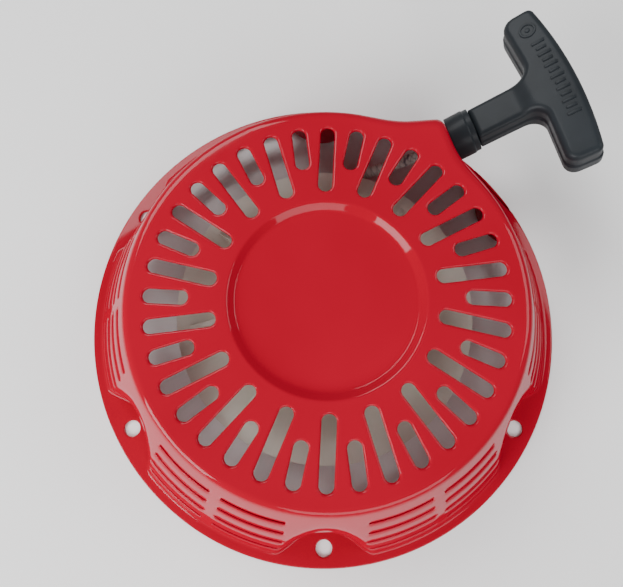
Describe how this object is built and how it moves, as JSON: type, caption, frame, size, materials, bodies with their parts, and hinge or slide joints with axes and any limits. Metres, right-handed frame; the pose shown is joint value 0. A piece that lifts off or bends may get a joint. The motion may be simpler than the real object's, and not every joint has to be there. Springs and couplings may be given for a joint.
{
  "type": "recoil starter",
  "caption": "Pull-rope recoil starter for a small engine: a slotted drawn-steel dome on a bolt flange, with a sprung rope reel, swinging pawls and a T grip",
  "frame": {"origin": "where the reel's axis meets the plane of the engine side of the mounting flange", "axes": "+Z points away from the engine, out of the slotted face; +X runs through the bolt hole beside the rope guide, on the side the rope leaves; the starter lies with its flange on z = 0"},
  "size_m": [0.2592, 0.226, 0.062],
  "materials": {
    "red_paint": "gloss enamel over drawn sheet steel",
    "black_plastic": "moulded black polymer with a soft sheen",
    "nylon": "natural nylon moulding",
    "zinc_steel": "zinc plated steel",
    "spring_steel": "oiled blued spring steel",
    "rope": "braided polyester rope"
  },
  "bodies": {
    "housing": {"housing": "red_paint", "post_plate": "zinc_steel", "centre_post": "zinc_steel", "thrust_washer": "zinc_steel", "starter_spring": "spring_steel", "rope_run": "rope", "rope_guide": "black_plastic", "friction_spring": "spring_steel", "setting_screw": "zinc_steel"},
    "reel": {"reel": "nylon", "rope_winding": "rope", "rope_knot_reel": "rope", "pawl_spring_a": "spring_steel", "pawl_spring_b": "spring_steel"},
    "ratchet_guide": {"ratchet_guide": "black_plastic"},
    "pawl_a": {"pawl_a": "zinc_steel"},
    "pawl_b": {"pawl_b": "zinc_steel"},
    "grip": {"grip": "black_plastic", "grip_washer": "zinc_steel", "rope_knot_grip": "rope"}
  },
  "joints": [
    {"name": "handle_pull", "type": "slide", "parent": "housing", "child": "grip", "axis": [0.8808, -0.1792, 0.4384], "range_m": [0, 0.85], "stiffness_N_per_m": 20, "springref_m": -0.75, "deforming": ["rope_run"]},
    {"name": "reel_spin", "type": "hinge", "parent": "housing", "child": "reel", "pos_m": [0, 0, 0.0238], "axis": [0, 0, 1], "range_deg": [-900, 0], "deforming": ["starter_spring"]},
    {"name": "ratchet_turn", "type": "hinge", "parent": "reel", "child": "ratchet_guide", "pos_m": [0, 0, 0.0076], "axis": [0, 0, 1], "range_deg": [-25, 0]},
    {"name": "pawl_a_swing", "type": "hinge", "parent": "reel", "child": "pawl_a", "pos_m": [0.022, 0, 0.0111], "axis": [0, 0, 1], "range_deg": [-31, 0]},
    {"name": "pawl_b_swing", "type": "hinge", "parent": "reel", "child": "pawl_b", "pos_m": [-0.022, 0, 0.0111], "axis": [0, 0, 1], "range_deg": [-31, 0]}
  ],
  "couplings": [
    {"joint": "reel_spin", "follows": "handle_pull", "rad_per_m": -17.54},
    {"joint": "pawl_a_swing", "follows": "ratchet_turn", "ratio": 1.2},
    {"joint": "pawl_b_swing", "follows": "ratchet_turn", "ratio": 1.2}
  ]
}
